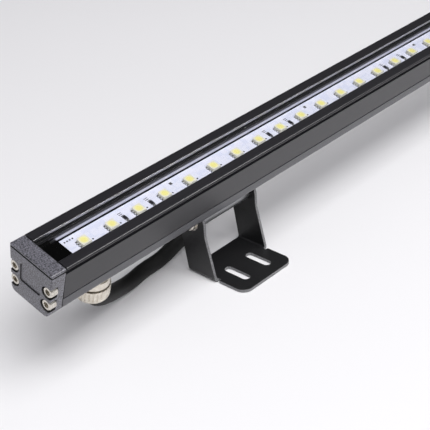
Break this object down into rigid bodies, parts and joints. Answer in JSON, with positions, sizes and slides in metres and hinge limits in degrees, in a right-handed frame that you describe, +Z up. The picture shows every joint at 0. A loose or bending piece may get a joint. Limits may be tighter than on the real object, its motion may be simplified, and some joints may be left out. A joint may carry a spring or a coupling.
{
  "type": "outdoor wall washer light",
  "caption": "Slim linear wall washer light: a dark aluminium bar with a row of white LEDs under a clear cover, on tilting slotted feet, with a power lead.",
  "frame": {"origin": "on the floor, under the middle of the box round the light without its lead", "axes": "+X along the bar, away from the lead's gland; +Z up; the feet's front plates face -Y"},
  "size_m": [0.5436, 0.0797, 0.0705],
  "materials": {
    "housing_coat": "dark grey anodised, satin",
    "cap_coat": "dark grey cast and coated, fine grain",
    "bracket_coat": "black coat, low sheen",
    "cover_glass": "clear, smooth",
    "edge_rubber": "dark grey",
    "block_rubber": "black, dull",
    "board_mask": "white board lacquer",
    "thermal_rubber": "grey, soft",
    "led_resin": "white moulded resin",
    "phosphor_resin": "pale yellow, unlit",
    "resistor_body": "black",
    "pad_tin": "tinned",
    "screw_steel": "stainless",
    "gland_nickel": "nickel-plated brass, satin",
    "seal_rubber": "black",
    "hinge_aluminium": "anodised, satin",
    "core_insulation": "coloured insulation",
    "lead_rubber": "black, slight sheen",
    "plug_plastic": "black",
    "ring_rubber": "orange-red",
    "pin_brass": "bright"
  },
  "bodies": {
    "near_foot": {"near_bracket": "bracket_coat", "near_pivot_screws": "screw_steel", "near_pivot_washers": "screw_steel", "power_lead_lower": "lead_rubber", "plug_relief": "plug_plastic", "plug_body": "plug_plastic", "plug_ring": "ring_rubber", "plug_pins": "pin_brass"},
    "bar": {"housing_extrusion": "housing_coat", "lens_cover": "cover_glass", "lens_edge_strips": "edge_rubber", "led_board": "board_mask", "thermal_pad": "thermal_rubber", "led_packages": "led_resin", "led_phosphors": "phosphor_resin", "board_resistors": "resistor_body", "board_link_pads": "pad_tin", "gland_gasket": "seal_rubber", "gland_body": "gland_nickel", "gland_seal": "seal_rubber", "gland_nut": "gland_nickel", "gland_lock_nut": "gland_nickel", "lead_cores": "core_insulation", "power_lead_upper": "lead_rubber", "near_end_cap": "cap_coat", "near_cap_gasket": "seal_rubber", "near_cap_screws": "screw_steel", "near_cap_washers": "screw_steel", "near_end_block": "block_rubber", "near_hinge_block": "hinge_aluminium", "near_hinge_block_screws": "screw_steel", "far_end_cap": "cap_coat", "far_cap_gasket": "seal_rubber", "far_cap_screws": "screw_steel", "far_cap_washers": "screw_steel", "far_end_block": "block_rubber", "far_hinge_block": "hinge_aluminium", "far_hinge_block_screws": "screw_steel"},
    "far_foot": {"far_bracket": "bracket_coat", "far_pivot_screws": "screw_steel", "far_pivot_washers": "screw_steel"}
  },
  "joints": [
    {"name": "bar_tilt", "type": "hinge", "parent": "near_foot", "child": "bar", "pos_m": [-0.14855, 0.01126, 0.031], "axis": [1, 0, 0], "range_deg": [-75, 60]},
    {"name": "far_foot_tilt", "type": "hinge", "parent": "bar", "child": "far_foot", "pos_m": [0.14855, 0.01126, 0.031], "axis": [1, 0, 0], "range_deg": [-60, 75]}
  ],
  "couplings": [
    {"joint": "far_foot_tilt", "follows": "bar_tilt", "ratio": -1}
  ]
}
